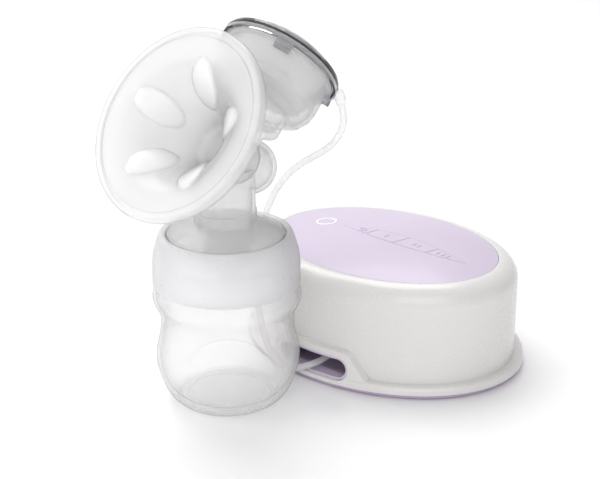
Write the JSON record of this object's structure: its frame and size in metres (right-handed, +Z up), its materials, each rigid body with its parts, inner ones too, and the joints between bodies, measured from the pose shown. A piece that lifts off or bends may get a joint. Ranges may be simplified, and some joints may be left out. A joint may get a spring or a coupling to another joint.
{
  "type": "breast pump",
  "caption": "Electric breast pump: tilted funnel and diaphragm cup on a small bottle, joined by an air tube to an oval motor unit with a keyed lid.",
  "frame": {"origin": "centre of the whole pump's footprint, on the surface that it stands on", "axes": "+Z up, -Y towards the front of the funnel and of the motor unit, +X along the motor unit's long axis"},
  "size_m": [0.138, 0.1894, 0.1624],
  "materials": {
    "clear_plastic": "clear, polished",
    "frosted_plastic": "frosted, satin",
    "clear_silicone": "clear silicone, satin",
    "white_silicone": "opaque silicone",
    "tube_silicone": "clear silicone hose",
    "white_plastic": "moulded, satin gloss",
    "lilac_plastic": "moulded, satin",
    "lilac_lid": "moulded, soft satin",
    "foot_rubber": "matte",
    "steel": "plated",
    "black_plastic": "moulded",
    "aluminium": "turned",
    "light_diffuser": "translucent",
    "circuit_board": "solder mask"
  },
  "bodies": {
    "root": {"pump_body": "clear_plastic", "massage_cushion": "clear_silicone", "valve": "white_silicone", "diaphragm": "clear_silicone", "cap": "clear_plastic", "tube_fitting": "clear_plastic", "air_tube": "tube_silicone", "housing": "white_plastic", "window_trim": "lilac_lid", "base": "lilac_plastic", "rubber_feet": "foot_rubber", "base_screws": "steel", "chassis": "white_plastic", "motor": "steel", "motor_end_bell": "black_plastic", "pump_cylinder": "aluminium", "pump_head": "black_plastic", "valve_coil": "black_plastic", "plunger_spring": "steel", "air_union": "black_plastic", "pump_hose": "tube_silicone", "valve_hose": "tube_silicone", "power_socket": "black_plastic", "control_lid": "lilac_lid", "light_ring": "light_diffuser", "control_board": "circuit_board", "key_switches": "black_plastic", "indicator_leds": "light_diffuser", "board_screws": "steel"},
    "collar": {"screw_collar": "frosted_plastic"},
    "bottle": {"bottle": "clear_plastic"},
    "crank": {"motor_shaft": "steel", "crank_disc": "white_plastic"},
    "piston_rod": {"connecting_rod": "white_plastic", "piston": "black_plastic"},
    "plunger": {"valve_plunger": "steel"},
    "power_key": {"power_button": "lilac_lid"},
    "stimulation_key": {"stimulation_button": "lilac_lid"},
    "low_key": {"low_button": "lilac_lid"},
    "medium_key": {"medium_button": "lilac_lid"},
    "high_key": {"high_button": "lilac_lid"}
  },
  "joints": [
    {"name": "collar_turn", "type": "hinge", "parent": "root", "child": "collar", "pos_m": [-0.02, -0.0445, 0.065], "axis": [0, 0, 1], "range_deg": [0, 300]},
    {"name": "bottle_thread", "type": "slide", "parent": "root", "child": "bottle", "axis": [0, 0, 1], "range_m": [-0.004, 0]},
    {"name": "motor_spin", "type": "hinge", "parent": "root", "child": "crank", "pos_m": [0, 0.0505, 0.032], "axis": [1, 0, 0], "continuous": true},
    {"name": "piston_stroke", "type": "slide", "parent": "root", "child": "piston_rod", "axis": [0, 1, 0], "range_m": [-0.002, 0.002]},
    {"name": "plunger_stroke", "type": "slide", "parent": "root", "child": "plunger", "axis": [0, 0, -1], "range_m": [0, 0.0015], "stiffness_N_per_m": 300, "springref_m": -0.001, "deforming": ["plunger_spring"]},
    {"name": "power_press", "type": "slide", "parent": "root", "child": "power_key", "axis": [0, 0, -1], "range_m": [0, 0.0008], "stiffness_N_per_m": 500, "springref_m": -0.0006},
    {"name": "stimulation_press", "type": "slide", "parent": "root", "child": "stimulation_key", "axis": [0, 0, -1], "range_m": [0, 0.0008], "stiffness_N_per_m": 500, "springref_m": -0.0006},
    {"name": "low_press", "type": "slide", "parent": "root", "child": "low_key", "axis": [0, 0, -1], "range_m": [0, 0.0008], "stiffness_N_per_m": 500, "springref_m": -0.0006},
    {"name": "medium_press", "type": "slide", "parent": "root", "child": "medium_key", "axis": [0, 0, -1], "range_m": [0, 0.0008], "stiffness_N_per_m": 500, "springref_m": -0.0006},
    {"name": "high_press", "type": "slide", "parent": "root", "child": "high_key", "axis": [0, 0, -1], "range_m": [0, 0.0008], "stiffness_N_per_m": 500, "springref_m": -0.0006}
  ],
  "couplings": [
    {"joint": "bottle_thread", "follows": "collar_turn", "m_per_rad": -0.0007162}
  ]
}
